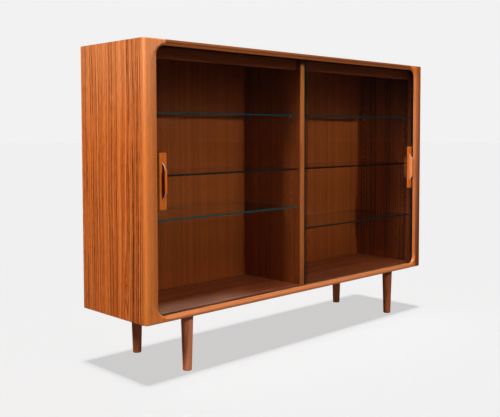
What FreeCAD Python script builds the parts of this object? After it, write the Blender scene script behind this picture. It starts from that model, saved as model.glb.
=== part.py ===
import FreeCAD, Part
import math
import os
import re
import Sketcher

# A low teak bookcase on turned legs, with two sliding glass doors, a middle divider
# and three glass shelves in each bay. Millimetres, Z up, the front faces minus Y, and
# the origin lies on the floor under the middle of the case.

doc = FreeCAD.newDocument("bookcase")
sizes = doc.addObject("Spreadsheet::Sheet", "sizes")

SIZES = {
    # Case
    "width": 1600,
    "depth": 380,
    "case_height": 942,
    "board": 20,
    "divider_thick": 22,
    "divider_gap": 1,
    "back_thick": 6,
    "back_recess": 14,
    "rabbet_width": 10,
    "back_play": 0.5,
    # Front frame
    "frame_depth": 16,
    "stile_width": 54,
    "stile_land": 28,
    "stile_foot": 87,
    "rail_height": 20,
    "rail_land": 9,
    "bevel_depth": 8,
    "opening_radius": 33,
    "crease_radius": 76,
    "stile_round": 11,
    "frame_round": 4,
    # Joinery
    "dowel_diameter": 8,
    "dowel_length": 22,
    "slim_dowel_diameter": 6,
    "slim_dowel_length": 24,
    "dowel_play": 0.1,
    "rail_dowel_height": 8.5,
    "rail_dowel_depth": 9,
    "spline_reach": 5,
    "spline_half": 1.1,
    "spline_setback": 28,
    "spline_end": 12,
    # Valance under the top
    "valance_height": 37,
    "valance_thick": 18,
    "valance_setback": 62,
    # Tracks
    "track_wall": 1.5,
    "track_middle": 4,
    "track_base": 1,
    "upper_channel": 10,
    "lower_channel": 5,
    # Doors
    "glass_thick": 6,
    "glass_arris": 0.6,
    "glass_play": 0.5,
    "door_lift": 0.3,
    "upper_grip": 4,
    "door_stop_gap": 2,
    "left_door_ajar": 22,
    # Pulls
    "pull_inset": 48,
    "pull_width": 30,
    "pull_length": 192,
    "pull_plate": 4,
    "pull_depth": 20,
    "rib_thick": 10,
    "rib_root_length": 126,
    "rib_front_length": 76,
    "scoop_radius": 12,
    "scoop_depth": 3,
    "pull_corner": 4,
    "pull_edge": 1.2,
    # Shelves and their pins
    "shelf_setback": 50,
    "shelf_play": 1,
    "shelf_back_gap": 2,
    "pin_diameter": 5,
    "pin_reach": 8,
    "pin_seat": 9,
    "pin_play": 0.1,
    "hole_pitch": 30.5,
    "hole_start": 188,
    "pin_front_inset": 90,
    "pin_back_inset": 40,
    "stud_offset": 100,
    "stud_seat": 4,
    # Legs
    "leg_height": 198,
    "leg_top_diameter": 44,
    "leg_foot_diameter": 32,
    "leg_foot_edge": 2,
    "leg_side_inset": 205,
    "leg_front_inset": 42,
    "leg_back_inset": 38,
    "bolt_diameter": 8,
    "bolt_hold": 36,
    "insert_diameter": 12,
    "insert_length": 13,
    # Screws of the back
    "screw_diameter": 3,
    "screw_head": 6,
    "screw_head_height": 2,
    "screw_length": 15,
}

# How close a coordinate of a shape comes to the named place that it lies at.
MATCH = 1e-4

# Pegs and the holes that take them have few sides, because there are so many of them.
HIDDEN_SIDES = 6
PIN_SIDES = 8
LEG_SIDES = 32

HOLE_COUNT = 18
LEFT_SHELF_HOLES = (16, 9, 4)
RIGHT_SHELF_HOLES = (16, 9, 1)
STUD_SHELF_HOLE = 4

# Places of fasteners along the piece that they hold, as shares of its length.
stile_dowel_shares = (0.13, 0.38, 0.62, 0.87)
divider_dowel_shares = (0.15, 0.5, 0.85)
valance_dowel_shares = (0.1, 0.5, 0.9)
back_screw_shares = (0.08, 0.36, 0.64, 0.92)
side_screw_shares = (0.33, 0.67)

for row, (size_name, size) in enumerate(SIZES.items(), start=1):
    sizes.set(f"A{row}", size_name)
    sizes.set(f"B{row}", str(size))
    sizes.setAlias(f"B{row}", size_name)
doc.recompute()

# Named places, as expressions over the sizes.
OUTER_X = "(width / 2)"
INNER_X = "(width / 2 - board)"
DIVIDER_X = "(divider_thick / 2)"
BASE = "(leg_height)"
TOP = "(leg_height + case_height)"
FLOOR = "(leg_height + board)"
CEILING = "(leg_height + case_height - board)"
GLASS_SETBACK = "(frame_depth + track_wall + glass_play)"
# The pulls stand proud of the front frame, and the origin halves the whole depth.
FRONT = f"((pull_depth - {GLASS_SETBACK} - depth) / 2)"
REAR = f"({FRONT} + depth)"
BOARD_FRONT = f"({FRONT} + frame_depth)"
FRONT_GLASS = f"({FRONT} + {GLASS_SETBACK})"
REAR_GLASS = f"({FRONT_GLASS} + glass_thick + 2 * glass_play + track_middle)"
TRACK_BACK = f"({REAR_GLASS} + glass_thick + glass_play + track_wall)"
BACK_FACE = f"({REAR} - back_recess - back_thick)"
DIVIDER_FRONT = f"({TRACK_BACK} + divider_gap)"
DOOR_WIDTH = f"({INNER_X} - door_stop_gap)"
OPENING_X = "(width / 2 - stile_width)"
OPENING_BOTTOM = "(leg_height + rail_height)"
OPENING_TOP = "(leg_height + case_height - rail_height)"
RAIL_END_X = "(width / 2 - stile_foot)"
HOLE_ONE_HEIGHT = f"({FLOOR} + hole_start)"
PIN_COLUMNS = (f"({FRONT} + pin_front_inset)", f"({BACK_FACE} - pin_back_inset)")

SIDES = ((-1, "left"), (1, "right"))

# Turns that lay a piece built upright along each axis.
AXES = {
    "X": FreeCAD.Rotation(FreeCAD.Vector(1, 1, 1), 120),
    "Y": FreeCAD.Rotation(FreeCAD.Vector(1, 0, 0), -90),
    "Z": FreeCAD.Rotation(),
}

# The node each finished object is written to.
nodes = []


def bind(text):
    """Turn the size names in an expression into cells of the sheet, and leave functions."""
    return re.sub(r"\b[a-z]\w*\b(?!\()", lambda word: "sizes." + word.group(0), text)


def value(text):
    """Give the present value of an expression over the sizes."""
    return float(sizes.evalExpression(bind(text)))


def tie(obj, **places):
    """Bind properties of an object to expressions over the sizes."""
    for name, text in places.items():
        obj.setExpression(name.replace("__", "."), bind(text))
    return obj


def tie_place(obj, x="0", y="0", z="0"):
    return tie(obj, Placement__Base__x=x, Placement__Base__y=y, Placement__Base__z=z)


def signed(sign, text):
    return text if sign > 0 else f"(-{text})"


def keep(obj, label):
    """Name a finished piece and list it for export."""
    obj.Label = label
    nodes.append(obj)
    return obj


# Sketches


def new_body(label):
    return keep(doc.addObject("PartDesign::Body", label), label)


def origin_item(body, role):
    return next(item for item in body.Origin.OriginFeatures if item.Role == role)


def new_sketch(body, name, role, offset="0"):
    """Attach a sketch to one of the body's own planes, moved along its normal."""
    sketch = body.newObject("Sketcher::SketchObject", f"{body.Name}_{name}")
    sketch.AttachmentSupport = [(origin_item(body, role), "")]
    sketch.MapMode = "FlatFace"
    return tie(sketch, AttachmentOffset__Base__z=offset)


def front_sketch(body, name, place):
    """A sketch facing the front, in X and Z, at one place along Y."""
    return new_sketch(body, name, "XZ_Plane", f"-{place}")


def tie_constraints(sketch, rules):
    """Add constraints, each a kind, the expression for its size and where it holds."""
    made = [Sketcher.Constraint(kind, *where, value(text)) for kind, text, *where in rules]
    for index, (kind, text, *where) in zip(sketch.addConstraint(made), rules):
        sketch.setExpression(f"Constraints[{index}]", bind(text))


def point_rules(edge, end, x, y):
    return [("DistanceX", x, -1, 1, edge, end), ("DistanceY", y, -1, 1, edge, end)]


def polygon(sketch, points):
    """Close a run of straight lines through points given as pairs of expressions."""
    spots = [FreeCAD.Vector(value(x), value(y), 0) for x, y in points]
    lines = [Part.LineSegment(start, end) for start, end in zip(spots, spots[1:] + spots[:1])]
    edges = sketch.addGeometry(lines)
    rules = []
    for edge, (x, y) in zip(edges, points):
        rules += point_rules(edge, 1, x, y)
    joins = zip(edges, edges[1:] + edges[:1])
    sketch.addConstraint([Sketcher.Constraint("Coincident", edge, 2, after, 1) for edge, after in joins])
    tie_constraints(sketch, rules)
    return sketch


def rectangle(sketch, x0, x1, y0, y1):
    return polygon(sketch, ((x0, y0), (x1, y0), (x1, y1), (x0, y1)))


def rounded_rectangle(sketch, x0, x1, y0, y1, radius):
    """Four lines joined by quarter circles of one radius, counterclockwise."""
    lines = (
        ((f"{x0} + {radius}", y0), (f"{x1} - {radius}", y0)),
        ((x1, f"{y0} + {radius}"), (x1, f"{y1} - {radius}")),
        ((f"{x1} - {radius}", y1), (f"{x0} + {radius}", y1)),
        ((x0, f"{y1} - {radius}"), (x0, f"{y0} + {radius}")),
    )
    for start, end in lines:
        ends = [FreeCAD.Vector(value(x), value(y), 0) for x, y in (start, end)]
        sketch.addGeometry(Part.LineSegment(*ends))
    centres = ((x1, y0, -1, 1), (x1, y1, -1, -1), (x0, y1, 1, -1), (x0, y0, 1, 1))
    quarter = math.pi / 2
    size = value(radius)
    for corner, (x, y, along_x, along_y) in enumerate(centres):
        centre = FreeCAD.Vector(value(x) + along_x * size, value(y) + along_y * size, 0)
        circle = Part.Circle(centre, FreeCAD.Vector(0, 0, 1), size)
        start_angle = (corner - 1) * quarter
        sketch.addGeometry(Part.ArcOfCircle(circle, start_angle, start_angle + quarter))
    joins = []
    rules = []
    for index, (start, end) in enumerate(lines):
        arc = index + 4
        joins.append(Sketcher.Constraint("Coincident", index, 2, arc, 1))
        joins.append(Sketcher.Constraint("Coincident", arc, 2, (index + 1) % 4, 1))
        rules += point_rules(index, 1, *start) + point_rules(index, 2, *end)
        rules.append(("Radius", radius, arc))
    sketch.addConstraint(joins)
    tie_constraints(sketch, rules)
    return sketch


# Features of a body


def pad(body, sketch, length, backward=False, both_ways=False):
    feature = body.newObject("PartDesign::Pad", f"{sketch.Name}_pad")
    feature.Profile = sketch
    feature.Reversed = backward
    feature.Midplane = both_ways
    return tie(feature, Length=length)


def pocket(body, sketch, length, backward=False):
    feature = body.newObject("PartDesign::Pocket", f"{sketch.Name}_pocket")
    feature.Profile = sketch
    feature.Reversed = backward
    return tie(feature, Length=length)


def cut_block(body, name, x0, x1, y0, y1, z0, z1):
    feature = body.newObject("PartDesign::SubtractiveBox", f"{body.Name}_{name}")
    tie(feature, Length=f"{x1} - ({x0})", Width=f"{y1} - ({y0})", Height=f"{z1} - ({z0})")
    return tie_place(feature, x0, y0, z0)


def bore(body, name, role, face, spots, diameter, depth, backward=False, sides=HIDDEN_SIDES):
    """Blind holes at spots on a plane of the body, shaped as the pegs that go in them."""
    sketch = new_sketch(body, name, role, face)
    for x, y in spots:
        corners = []
        for corner in range(sides):
            turn = math.tau * corner / sides
            corners.append((f"{x} + {math.cos(turn):.9f} * ({diameter}) / 2",
                            f"{y} + {math.sin(turn):.9f} * ({diameter}) / 2"))
        polygon(sketch, corners)
    return pocket(body, sketch, depth, backward)


def same(number, text):
    """Whether a measured coordinate lies at a named place."""
    return abs(number - value(text)) < MATCH


def soften(body, kind, base, size, chosen):
    """Fillet or chamfer the edges of a feature that a test chooses."""
    doc.recompute()
    names = [f"Edge{index}" for index, edge in enumerate(base.Shape.Edges, start=1) if chosen(edge)]
    feature = body.newObject(f"PartDesign::{kind}", f"{base.Name}_{kind.lower()}")
    feature.Base = (base, names)
    size_name = "Radius" if kind == "Fillet" else "Size"
    return tie(feature, **{size_name: size})


# Boards of the case


def cut_back_rabbet(body):
    """The step behind the inner faces that the back panel lies in."""
    cut_block(body, "rabbet", f"-{INNER_X} - rabbet_width", f"{INNER_X} + rabbet_width",
              BACK_FACE, f"{REAR}", f"{FLOOR} - rabbet_width", f"{CEILING} + rabbet_width")


def spline_outline(sketch, side, level, play="0"):
    """The section of the tongue across one mitre, in X and Z."""
    middle_x = signed(side, f"({OUTER_X} - board / 2)")
    middle_z = f"({TOP} - board / 2)" if level > 0 else f"({BASE} + board / 2)"
    reach = f"(spline_reach + {play})"
    half = f"(spline_half + {play})"
    points = []
    for along, across in ((1, 1), (1, -1), (-1, -1), (-1, 1)):
        x = f"{middle_x} + {-side * along} * {reach} + {side * across} * {half}"
        z = f"{middle_z} + {level * along} * {reach} + {level * across} * {half}"
        points.append((x, z))
    return polygon(sketch, points)


SPLINE_FRONT = f"({BOARD_FRONT} + spline_setback)"
SPLINE_LENGTH = f"({BACK_FACE} - spline_end - {SPLINE_FRONT})"


def cut_spline_slot(body, side, level):
    sketch = front_sketch(body, f"slot_{side + 1}_{level + 1}", f"({SPLINE_FRONT} - dowel_play)")
    pocket(body, spline_outline(sketch, side, level, "dowel_play"),
           f"{SPLINE_LENGTH} + 2 * dowel_play")


def mitre_spline(label, side, level):
    body = new_body(label)
    sketch = front_sketch(body, "outline", SPLINE_FRONT)
    pad(body, spline_outline(sketch, side, level), SPLINE_LENGTH, backward=True)


def stile_dowel_spots(side):
    x = signed(side, f"({OUTER_X} - board / 2)")
    return [(x, f"{BASE} + {share} * case_height") for share in stile_dowel_shares]


def divider_dowel_spots():
    run = f"({BACK_FACE} - {DIVIDER_FRONT})"
    return [("0", f"{DIVIDER_FRONT} + {share} * {run}") for share in divider_dowel_shares]


def valance_dowel_spots(side):
    y = f"{FRONT} + valance_setback + valance_thick / 2"
    run = f"({INNER_X} - {DIVIDER_X})"
    return [(signed(side, f"({DIVIDER_X} + {share} * {run})"), y) for share in valance_dowel_shares]


def leg_spots():
    """The legs' names and their middles in X and Y."""
    front = f"({FRONT} + leg_front_inset)"
    rear = f"({REAR} - leg_back_inset)"
    spots = {}
    for side, side_name in ((-1, "left"), (1, "right")):
        for place, place_name in ((front, "front"), (rear, "rear")):
            spots[f"leg_{place_name}_{side_name}"] = (signed(side, f"({OUTER_X} - leg_side_inset)"), place)
    return spots


def across_screw_spots(level):
    height = f"{CEILING} + rabbet_width / 2" if level > 0 else f"{FLOOR} - rabbet_width / 2"
    return [(f"{share * 2 - 1} * {INNER_X}", height) for share in back_screw_shares]


def upright_screw_spots(x):
    return [(x, f"{BASE} + {share} * case_height") for share in side_screw_shares]


def side_screw_spots(side):
    return upright_screw_spots(signed(side, f"({INNER_X} + rabbet_width / 2)"))


DOWEL_HOLE = "dowel_diameter + 2 * dowel_play"
DOWEL_DEPTH = "dowel_length / 2 + dowel_play"
SLIM_HOLE = "slim_dowel_diameter + 2 * dowel_play"
SLIM_DEPTH = "slim_dowel_length / 2 + dowel_play"
SCREW_HOLE = "screw_diameter + 2 * dowel_play"
PIN_HOLE = "pin_diameter + 2 * pin_play"


def bore_for_screws(body, spots):
    """Pilot holes that run forward from the face that the back panel lies on."""
    bore(body, "pilots", "XZ_Plane", f"-{BACK_FACE}", spots, SCREW_HOLE,
         "screw_length - back_thick + dowel_play", backward=True)


def bore_pin_rows(body, name, face, backward):
    """Two upright rows of blind holes for the shelf pins."""
    spots = [(column, HOLE_ONE_HEIGHT) for column in PIN_COLUMNS]
    first = bore(body, name, "YZ_Plane", face, spots, PIN_HOLE, "pin_seat + pin_play", backward,
                 PIN_SIDES)
    rows = body.newObject("PartDesign::LinearPattern", f"{body.Name}_{name}_rows")
    rows.Originals = [first]
    rows.Direction = (origin_item(body, "Z_Axis"), [""])
    rows.Occurrences = HOLE_COUNT
    tie(rows, Length=f"{HOLE_COUNT - 1} * hole_pitch")
    body.Tip = rows


def side_panel(label, side):
    """An upright board, mitred at both ends, behind the front frame."""
    body = new_body(label)
    outer = signed(side, OUTER_X)
    inner = signed(side, INNER_X)
    sketch = front_sketch(body, "outline", BOARD_FRONT)
    polygon(sketch, ((outer, BASE), (inner, FLOOR), (inner, CEILING), (outer, TOP)))
    pad(body, sketch, "depth - frame_depth", backward=True)
    cut_back_rabbet(body)
    cut_spline_slot(body, side, 1)
    cut_spline_slot(body, side, -1)
    bore(body, "dowels", "XZ_Plane", f"-{BOARD_FRONT}", stile_dowel_spots(side), DOWEL_HOLE, DOWEL_DEPTH)
    bore_for_screws(body, side_screw_spots(side))
    bore_pin_rows(body, "pins", inner, backward=side > 0)


def level_panel(label, level):
    """The top or bottom board, mitred at both ends, with a step for the door track."""
    body = new_body(label)
    outer_z, inner_z = (TOP, CEILING) if level > 0 else (BASE, FLOOR)
    sketch = front_sketch(body, "outline", BOARD_FRONT)
    points = ((f"-{OUTER_X}", outer_z), (OUTER_X, outer_z), (INNER_X, inner_z), (f"-{INNER_X}", inner_z))
    polygon(sketch, points)
    pad(body, sketch, "depth - frame_depth", backward=True)
    cut_back_rabbet(body)
    if level > 0:
        track_z = (CEILING, f"{CEILING} + upper_channel + track_base")
    else:
        track_z = (f"{FLOOR} - lower_channel - track_base", FLOOR)
    cut_block(body, "track_step", f"-{INNER_X}", INNER_X, BOARD_FRONT, TRACK_BACK, *track_z)
    cut_spline_slot(body, -1, level)
    cut_spline_slot(body, 1, level)
    bore_for_screws(body, across_screw_spots(level))
    bore(body, "divider_dowels", "XY_Plane", inner_z, divider_dowel_spots(), DOWEL_HOLE, DOWEL_DEPTH,
         backward=level > 0)
    return body


def top_panel():
    body = level_panel("top_panel", 1)
    spots = valance_dowel_spots(-1) + valance_dowel_spots(1)
    bore(body, "valance_dowels", "XY_Plane", CEILING, spots, SLIM_HOLE, SLIM_DEPTH, backward=True)


def bottom_panel():
    body = level_panel("bottom_panel", -1)
    bore(body, "inserts", "XY_Plane", BASE, leg_spots().values(), "insert_diameter + 2 * dowel_play",
         "insert_length + dowel_play", backward=True)


def centre_divider():
    """The upright board between the bays, with rows of pin holes on both faces."""
    body = new_body("centre_divider")
    sketch = front_sketch(body, "outline", DIVIDER_FRONT)
    rectangle(sketch, f"-{DIVIDER_X}", DIVIDER_X, FLOOR, CEILING)
    pad(body, sketch, f"{BACK_FACE} - {DIVIDER_FRONT}", backward=True)
    for name, end, backward in (("low_dowels", FLOOR, True), ("high_dowels", CEILING, False)):
        bore(body, name, "XY_Plane", end, divider_dowel_spots(), DOWEL_HOLE, DOWEL_DEPTH, backward)
    bore_for_screws(body, upright_screw_spots("0"))
    bore_pin_rows(body, "left_pins", f"-{DIVIDER_X}", backward=True)
    bore_pin_rows(body, "right_pins", DIVIDER_X, backward=False)


def screw_lines():
    """The back panel's screws, in a line for each board that they go into."""
    return {
        "top": across_screw_spots(1),
        "bottom": across_screw_spots(-1),
        "divider": upright_screw_spots("0"),
        "left": side_screw_spots(-1),
        "right": side_screw_spots(1),
    }


STUD_X = f"(stud_offset - ({INNER_X} + {DIVIDER_X}) / 2)"


def pin_height(hole):
    return f"{HOLE_ONE_HEIGHT} + {hole} * hole_pitch"


def back_panel():
    """A plywood sheet in the rabbet, with holes for its screws."""
    body = new_body("back_panel")
    sketch = front_sketch(body, "outline", BACK_FACE)
    edge = "rabbet_width - back_play"
    rectangle(sketch, f"-{INNER_X} - ({edge})", f"{INNER_X} + {edge}",
              f"{FLOOR} - ({edge})", f"{CEILING} + {edge}")
    pad(body, sketch, "back_thick", backward=True)
    bore(body, "stud", "XZ_Plane", f"-{BACK_FACE}", [(STUD_X, pin_height(STUD_SHELF_HOLE))], PIN_HOLE,
         "stud_seat + pin_play", sides=PIN_SIDES)
    for name, spots in screw_lines().items():
        bore(body, f"{name}_holes", "XZ_Plane", f"-{BACK_FACE}", spots, SCREW_HOLE, "back_thick")


def valance(label, side):
    """The strip that hangs from the top across the front of one bay."""
    body = new_body(label)
    ends = (signed(side, DIVIDER_X), signed(side, INNER_X))
    sketch = front_sketch(body, "outline", f"({FRONT} + valance_setback)")
    rectangle(sketch, *ends, f"{CEILING} - valance_height", CEILING)
    pad(body, sketch, "valance_thick", backward=True)
    bore(body, "dowels", "XY_Plane", CEILING, valance_dowel_spots(side), SLIM_HOLE, SLIM_DEPTH)


# Front frame


def frame_member(label, x0, x1, z0, z1):
    """A bar of the front frame before its inner edge is shaped."""
    body = new_body(label)
    sketch = rectangle(front_sketch(body, "outline", FRONT), x0, x1, z0, z1)
    return body, pad(body, sketch, "frame_depth", backward=True)


def bevel_inner_edge(body):
    """The long bevel that falls from the crease to the rounded opening."""
    crease = front_sketch(body, "crease", FRONT)
    rounded_rectangle(crease, "-(width / 2 - stile_land)", "(width / 2 - stile_land)",
                      "(leg_height + rail_land)", "(leg_height + case_height - rail_land)",
                      "crease_radius")
    loft = body.newObject("PartDesign::SubtractiveLoft", f"{body.Name}_bevel")
    loft.Profile = crease
    loft.Sections = [opening_sketch(body, "bevel_foot")]
    loft.Ruled = True


def opening_sketch(body, name):
    sketch = front_sketch(body, name, f"({FRONT} + bevel_depth)")
    return rounded_rectangle(sketch, f"-{OPENING_X}", OPENING_X, OPENING_BOTTOM, OPENING_TOP,
                             "opening_radius")


def rail_dowel_spots():
    """The dowels between the top and bottom rails and a stile, in Y and Z."""
    heights = (f"{TOP} - rail_dowel_height", f"{BASE} + rail_dowel_height")
    return [(f"{FRONT} + rail_dowel_depth", height) for height in heights]


def front_stile(label, side):
    """An upright of the frame, wide at its ends where the opening's corners curve."""
    ends = (signed(side, OUTER_X), signed(side, RAIL_END_X))
    body, blank = frame_member(label, *ends, BASE, TOP)

    def is_outer_edge(edge):
        middle = edge.CenterOfMass
        return same(middle.x, ends[0]) and same(middle.y, FRONT)

    rounded = soften(body, "Fillet", blank, "stile_round", is_outer_edge)

    def is_end_edge(edge):
        middle = edge.CenterOfMass
        at_end = same(middle.z, BASE) or same(middle.z, TOP)
        return at_end and same(middle.y, FRONT)

    soften(body, "Fillet", rounded, "frame_round", is_end_edge)
    bevel_inner_edge(body)
    pocket(body, opening_sketch(body, "opening"), "frame_depth - bevel_depth")
    bore(body, "dowels", "XZ_Plane", f"-{BOARD_FRONT}", stile_dowel_spots(side), DOWEL_HOLE, DOWEL_DEPTH,
         backward=True)
    bore(body, "rail_dowels", "YZ_Plane", ends[1], rail_dowel_spots(), SLIM_HOLE, SLIM_DEPTH,
         backward=side > 0)


def front_rail(label, level):
    """A level bar of the frame, between the stiles' curved ends."""
    heights = (OPENING_TOP, TOP) if level > 0 else (BASE, OPENING_BOTTOM)
    body, blank = frame_member(label, f"-{RAIL_END_X}", RAIL_END_X, *heights)
    outer = TOP if level > 0 else BASE

    def is_outer_edge(edge):
        middle = edge.CenterOfMass
        return same(middle.z, outer) and same(middle.y, FRONT)

    soften(body, "Fillet", blank, "frame_round", is_outer_edge)
    bevel_inner_edge(body)
    top_spot, bottom_spot = rail_dowel_spots()
    spots = [top_spot if level > 0 else bottom_spot]
    bore(body, "left_dowel", "YZ_Plane", f"-{RAIL_END_X}", spots, SLIM_HOLE, SLIM_DEPTH, backward=True)
    bore(body, "right_dowel", "YZ_Plane", RAIL_END_X, spots, SLIM_HOLE, SLIM_DEPTH)


# Pegs that come in sets


def pegs(name, axis, start, spots, diameter, length, sides=HIDDEN_SIDES):
    """Straight bars along one axis, at spots given in the other two."""
    pieces = []
    for index, spot in enumerate(spots, start=1):
        piece = doc.addObject("Part::Prism", f"{name}_{index}")
        piece.Polygon = sides
        piece.Placement.Rotation = AXES[axis]
        tie(piece, Circumradius=f"({diameter}) / 2", Height=length)
        place = list(spot)
        place.insert("XYZ".index(axis), start)
        pieces.append(tie_place(piece, *place))
    return pieces


def piece_set(label, pieces):
    group = doc.addObject("Part::MultiFuse", label)
    group.Shapes = pieces
    return keep(group, label)


def stile_dowels():
    spots = stile_dowel_spots(-1) + stile_dowel_spots(1)
    piece_set("stile_dowels", pegs("stile_dowel", "Y", f"{BOARD_FRONT} - dowel_length / 2", spots,
                                   "dowel_diameter", "dowel_length"))


def rail_dowels():
    pieces = []
    for side, side_name in SIDES:
        start = f"{signed(side, RAIL_END_X)} - slim_dowel_length / 2"
        pieces += pegs(f"rail_dowel_{side_name}", "X", start, rail_dowel_spots(), "slim_dowel_diameter",
                       "slim_dowel_length")
    piece_set("rail_dowels", pieces)


def divider_dowels():
    pieces = []
    for joint, name in ((FLOOR, "divider_dowel_low"), (CEILING, "divider_dowel_high")):
        pieces += pegs(name, "Z", f"{joint} - dowel_length / 2", divider_dowel_spots(), "dowel_diameter",
                       "dowel_length")
    piece_set("divider_dowels", pieces)


def valance_dowels():
    spots = valance_dowel_spots(-1) + valance_dowel_spots(1)
    piece_set("valance_dowels", pegs("valance_dowel", "Z", f"{CEILING} - slim_dowel_length / 2", spots,
                                     "slim_dowel_diameter", "slim_dowel_length"))


def back_panel_screws():
    """Screws through the back panel, whose flat heads lie on it."""
    seat = f"({BACK_FACE} + back_thick)"
    spots = [spot for line in screw_lines().values() for spot in line]
    shanks = pegs("screw_shank", "Y", f"{seat} - screw_length", spots, "screw_diameter", "screw_length")
    heads = pegs("screw_head", "Y", seat, spots, "screw_head", "screw_head_height")
    piece_set("back_panel_screws", shanks + heads)


# Door tracks, doors and pulls


def door_track(label, level):
    """A plastic strip with two channels, housed in the top or bottom board."""
    body = new_body(label)
    if level > 0:
        mouth, channel, base = CEILING, f"{CEILING} + upper_channel", f"{CEILING} + upper_channel + track_base"
    else:
        mouth, channel, base = FLOOR, f"{FLOOR} - lower_channel", f"{FLOOR} - lower_channel - track_base"
    edges = []
    for glass in (FRONT_GLASS, REAR_GLASS):
        edges += [f"{glass} - glass_play", f"{glass} + glass_thick + glass_play"]
    points = [(BOARD_FRONT, base), (BOARD_FRONT, mouth)]
    for start, end in (edges[:2], edges[2:]):
        points += [(start, mouth), (start, channel), (end, channel), (end, mouth)]
    points += [(TRACK_BACK, mouth), (TRACK_BACK, base)]
    sketch = polygon(new_sketch(body, "section", "YZ_Plane"), points)
    pad(body, sketch, f"2 * {INNER_X}", both_ways=True)


def glass_sheet(label, x0, y0, z0, x1, y1, z1):
    """A glass plate with all its edges eased."""
    body = new_body(label)
    sketch = rectangle(front_sketch(body, "outline", y0), x0, x1, z0, z1)
    blank = pad(body, sketch, f"{y1} - {y0}", backward=True)
    soften(body, "Chamfer", blank, "glass_arris", lambda edge: True)


DOOR_BOTTOM = f"({FLOOR} - lower_channel + door_lift)"
DOOR_TOP = f"({CEILING} + upper_grip)"
LEFT_DOOR_X = f"(left_door_ajar + door_stop_gap - {INNER_X})"
RIGHT_DOOR_X = f"({INNER_X} - door_stop_gap - {DOOR_WIDTH})"


def glass_door(label, x, face):
    glass_sheet(label, x, face, DOOR_BOTTOM, f"({x} + {DOOR_WIDTH})", f"({face} + glass_thick)", DOOR_TOP)


def door_pull(label, side, x, face):
    """A plate glued to the glass, with a rib whose outer side is hollowed for the fingers."""
    body = new_body(label)
    rib = polygon(new_sketch(body, "rib", "YZ_Plane"), (
        ("0", "-rib_root_length / 2"), ("-pull_plate", "-rib_root_length / 2"),
        ("-pull_depth", "-rib_front_length / 2"), ("-pull_depth", "rib_front_length / 2"),
        ("-pull_plate", "rib_root_length / 2"), ("0", "rib_root_length / 2")))
    blank = pad(body, rib, "rib_thick", both_ways=True)

    def is_rib_front(edge):
        box = edge.BoundBox
        return same(box.YMin, "-pull_depth") and same(box.YMax, "-pull_depth")

    soften(body, "Fillet", blank, "pull_edge", is_rib_front)
    scoop = body.newObject("PartDesign::SubtractiveCylinder", f"{label}_scoop")
    tie(scoop, Radius="scoop_radius", Height="pull_length")
    tie_place(scoop, signed(side, "(rib_thick / 2 - scoop_depth + scoop_radius)"),
              "-(pull_plate + pull_depth) / 2", "-pull_length / 2")
    plate = new_sketch(body, "plate", "XZ_Plane")
    rounded_rectangle(plate, "-pull_width / 2", "pull_width / 2", "-pull_length / 2",
                      "pull_length / 2", "pull_corner")
    whole = pad(body, plate, "pull_plate")

    def is_plate_rim(edge):
        box = edge.BoundBox
        on_face = same(box.YMin, "-pull_plate") and same(box.YMax, "-pull_plate")
        return on_face and max(abs(box.XMin), abs(box.XMax)) > value("pull_width / 2 - pull_corner")

    soften(body, "Chamfer", whole, "pull_edge", is_plate_rim)
    tie_place(body, x, face, "leg_height + case_height / 2")


# Shelves


def bay_sides(side):
    """The left and right faces of a bay."""
    faces = (signed(side, DIVIDER_X), signed(side, INNER_X))
    return faces if side > 0 else faces[::-1]


def glass_shelf(label, side, hole):
    left, right = bay_sides(side)
    bottom = f"({pin_height(hole)} + pin_diameter / 2)"
    glass_sheet(label, f"({left} + shelf_play)", f"({FRONT} + shelf_setback)", bottom,
                f"({right} - shelf_play)", f"({BACK_FACE} - shelf_back_gap)",
                f"({bottom} + glass_thick)")


def shelf_pins(label, side, hole):
    """Four pins, two in each side of the bay, that the shelf lies on."""
    left, right = bay_sides(side)
    spots = [(column, pin_height(hole)) for column in PIN_COLUMNS]
    pieces = []
    for name, start in (("west", f"{left} - pin_seat"), ("east", f"{right} - pin_reach")):
        pieces += pegs(f"{label}_{name}", "X", start, spots, "pin_diameter", "pin_reach + pin_seat",
                       PIN_SIDES)
    piece_set(label, pieces)


def rear_shelf_stud():
    """A stud in the back panel under the rear edge of one shelf."""
    stud, = pegs("stud", "Y", f"{BACK_FACE} - pin_reach", [(STUD_X, pin_height(STUD_SHELF_HOLE))],
                 "pin_diameter", "pin_reach + stud_seat", PIN_SIDES)
    keep(stud, "rear_shelf_stud")


# Legs


BOLT_HOLE = "bolt_diameter + 2 * dowel_play"


def leg(label, x, y):
    """A round leg that tapers to an eased foot, bored for its bolt."""
    body = new_body(label)
    blank = body.newObject("PartDesign::AdditivePrism", f"{label}_blank")
    blank.Polygon = LEG_SIDES
    tie(blank, Circumradius="leg_foot_diameter / 2", Height="leg_height")
    doc.recompute()
    taper = body.newObject("PartDesign::Draft", f"{label}_taper")
    faces = enumerate(blank.Shape.Faces, start=1)
    taper.Base = (blank, [f"Face{index}" for index, face in faces if len(face.Edges) == 4])
    taper.NeutralPlane = (origin_item(body, "XY_Plane"), [""])
    taper.Reversed = True
    flat_share = math.cos(math.pi / LEG_SIDES)
    tie(taper, Angle=f"atan({flat_share:.9f} * (leg_top_diameter - leg_foot_diameter) / 2 / leg_height)")

    def is_foot_edge(edge):
        box = edge.BoundBox
        return same(box.ZMin, "0") and same(box.ZMax, "0")

    soften(body, "Chamfer", taper, "leg_foot_edge", is_foot_edge)
    bore(body, "bolt", "XY_Plane", "leg_height", [("0", "0")], BOLT_HOLE, "bolt_hold + dowel_play")
    tie_place(body, x, y)


def leg_bolts():
    """Double-ended bolts, half in the leg and half in the insert."""
    piece_set("leg_bolts", pegs("leg_bolt", "Z", "leg_height - bolt_hold", leg_spots().values(),
                                "bolt_diameter", "bolt_hold + insert_length"))


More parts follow.
